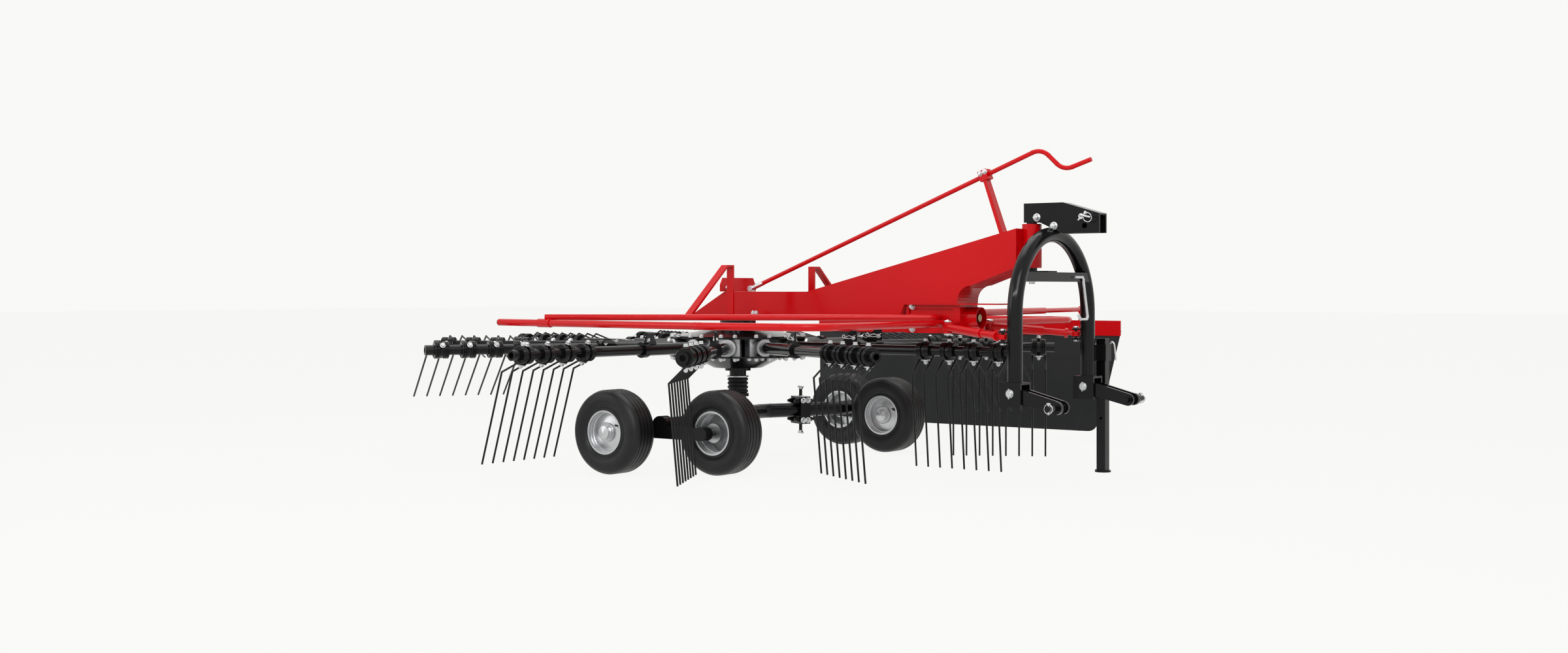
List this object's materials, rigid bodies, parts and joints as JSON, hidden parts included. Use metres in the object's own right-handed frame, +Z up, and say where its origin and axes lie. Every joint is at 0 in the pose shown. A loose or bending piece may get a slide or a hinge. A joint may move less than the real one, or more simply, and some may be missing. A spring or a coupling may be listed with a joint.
{
  "type": "single rotor hay rake",
  "caption": "Mounted rotary hay rake: tine arms on a hub under a box boom, tandem wheels, swivel three-point headstock, guards and swath curtain.",
  "frame": {"origin": "ground level under the middle of the footprint", "axes": "+X forward to the hitch, +Y to the machine's left, +Z up"},
  "size_m": [3.7833, 3.5582, 1.5461],
  "materials": {
    "red_paint": "glossy enamel",
    "black_paint": "satin enamel",
    "zinc": "zinc plated",
    "rim_silver": "silver enamel",
    "cast_silver": "as cast",
    "oiled_steel": "oiled",
    "tyre": "matt rubber",
    "bellows_rubber": "matt rubber",
    "curtain_cloth": "coated cloth"
  },
  "bodies": {
    "chassis": {"boom": "red_paint", "drive_bracket": "red_paint", "drive_shroud": "red_paint", "gearbox_column": "black_paint", "bellows": "bellows_rubber", "axle": "black_paint", "tilt_clamp": "black_paint", "rocker_right": "black_paint", "rocker_left": "black_paint", "arm_rack_right": "red_paint", "arm_rack_left": "red_paint", "rear_plate": "red_paint", "crank": "red_paint", "crank_joint": "zinc", "crank_bracket": "red_paint", "guard_right": "red_paint", "guard_left": "red_paint", "carrier_sleeve": "red_paint"},
    "rotor": {"hub": "black_paint", "hub_cover": "black_paint", "bearing_housings": "cast_silver", "tine_arm_1": "black_paint", "tine_arm_2": "black_paint", "tine_arm_3": "black_paint", "tine_arm_4": "black_paint", "tine_arm_5": "black_paint", "tine_arm_6": "black_paint", "tine_arm_7": "black_paint", "tine_arm_8": "black_paint", "tine_arm_9": "black_paint", "tine_arm_10": "black_paint", "tine_arm_11": "black_paint", "tine_arm_12": "black_paint"},
    "input": {"input_shaft": "oiled_steel"},
    "headstock": {"headstock_frame": "black_paint", "top_bracket": "black_paint", "top_link_pin": "zinc", "drive_hook": "zinc", "leg_sleeve": "black_paint"},
    "leg": {"parking_leg": "black_paint"},
    "curtain": {"curtain_frame": "red_paint", "curtain": "curtain_cloth"},
    "wheel_front_right": {"tyre_front_right": "tyre", "rim_front_right": "rim_silver"},
    "wheel_front_left": {"tyre_front_left": "tyre", "rim_front_left": "rim_silver"},
    "wheel_rear_right": {"tyre_rear_right": "tyre", "rim_rear_right": "rim_silver"},
    "wheel_rear_left": {"tyre_rear_left": "tyre", "rim_rear_left": "rim_silver"},
    "tongue_right": {"tongue_right": "black_paint"},
    "barrel_right": {"strut_barrel_right": "red_paint"},
    "rod_right": {"strut_rod_right": "red_paint"},
    "tongue_left": {"tongue_left": "black_paint"},
    "barrel_left": {"strut_barrel_left": "red_paint"},
    "rod_left": {"strut_rod_left": "red_paint"}
  },
  "joints": [
    {"name": "rotor_spin", "type": "hinge", "parent": "chassis", "child": "rotor", "pos_m": [-0.2121, -0.12509, 0.588], "axis": [0, 0, 1], "continuous": true},
    {"name": "input_spin", "type": "hinge", "parent": "chassis", "child": "input", "pos_m": [1.1879, -0.12509, 0.75], "axis": [1, 0, 0], "continuous": true},
    {"name": "headstock_swivel", "type": "hinge", "parent": "chassis", "child": "headstock", "pos_m": [1.52791, -0.12509, 1.08], "axis": [0, 0, 1], "range_deg": [-12, 12]},
    {"name": "wheel_front_right_spin", "type": "hinge", "parent": "chassis", "child": "wheel_front_right", "pos_m": [0.2559, -0.86709, 0.203], "axis": [0, 1, 0], "continuous": true},
    {"name": "wheel_front_left_spin", "type": "hinge", "parent": "chassis", "child": "wheel_front_left", "pos_m": [0.2559, 0.61691, 0.203], "axis": [0, 1, 0], "continuous": true},
    {"name": "wheel_rear_right_spin", "type": "hinge", "parent": "chassis", "child": "wheel_rear_right", "pos_m": [-0.19509, -1.12509, 0.203], "axis": [0, 1, 0], "continuous": true},
    {"name": "wheel_rear_left_spin", "type": "hinge", "parent": "chassis", "child": "wheel_rear_left", "pos_m": [-0.19509, 0.87491, 0.203], "axis": [0, 1, 0], "continuous": true},
    {"name": "strut_swing_right", "type": "hinge", "parent": "chassis", "child": "barrel_right", "pos_m": [1.1879, -0.32509, 0.706], "axis": [0, 0, 1], "range_deg": [-5.84, 5.84]},
    {"name": "strut_slide_right", "type": "slide", "parent": "barrel_right", "child": "rod_right", "axis": [0.916, -0.3929, -0.0805], "range_m": [-0.0688, 0.0688]},
    {"name": "tongue_swing_right", "type": "hinge", "parent": "headstock", "child": "tongue_right", "pos_m": [1.6359, -0.49109, 0.42], "axis": [0, -1, 0], "range_deg": [0, 16]},
    {"name": "strut_swing_left", "type": "hinge", "parent": "chassis", "child": "barrel_left", "pos_m": [1.1879, 0.07491, 0.706], "axis": [0, 0, 1], "range_deg": [-5.84, 5.84]},
    {"name": "strut_slide_left", "type": "slide", "parent": "barrel_left", "child": "rod_left", "axis": [0.916, 0.3929, -0.0805], "range_m": [-0.0688, 0.0688]},
    {"name": "tongue_swing_left", "type": "hinge", "parent": "headstock", "child": "tongue_left", "pos_m": [1.6359, 0.24091, 0.42], "axis": [0, -1, 0], "range_deg": [0, 16]},
    {"name": "leg_slide", "type": "slide", "parent": "headstock", "child": "leg", "axis": [0, 0, 1], "range_m": [0, 0.3]},
    {"name": "curtain_slide", "type": "slide", "parent": "chassis", "child": "curtain", "axis": [-0.1392, 0.9903, 0], "range_m": [0, 0.3]}
  ],
  "couplings": [
    {"joint": "input_spin", "follows": "rotor_spin", "ratio": 6.5},
    {"joint": "strut_swing_right", "follows": "headstock_swivel", "ratio": 0.4452},
    {"joint": "strut_slide_right", "follows": "headstock_swivel", "m_per_rad": 0.31887},
    {"joint": "strut_swing_left", "follows": "headstock_swivel", "ratio": 0.4452},
    {"joint": "strut_slide_left", "follows": "headstock_swivel", "m_per_rad": -0.31887}
  ]
}
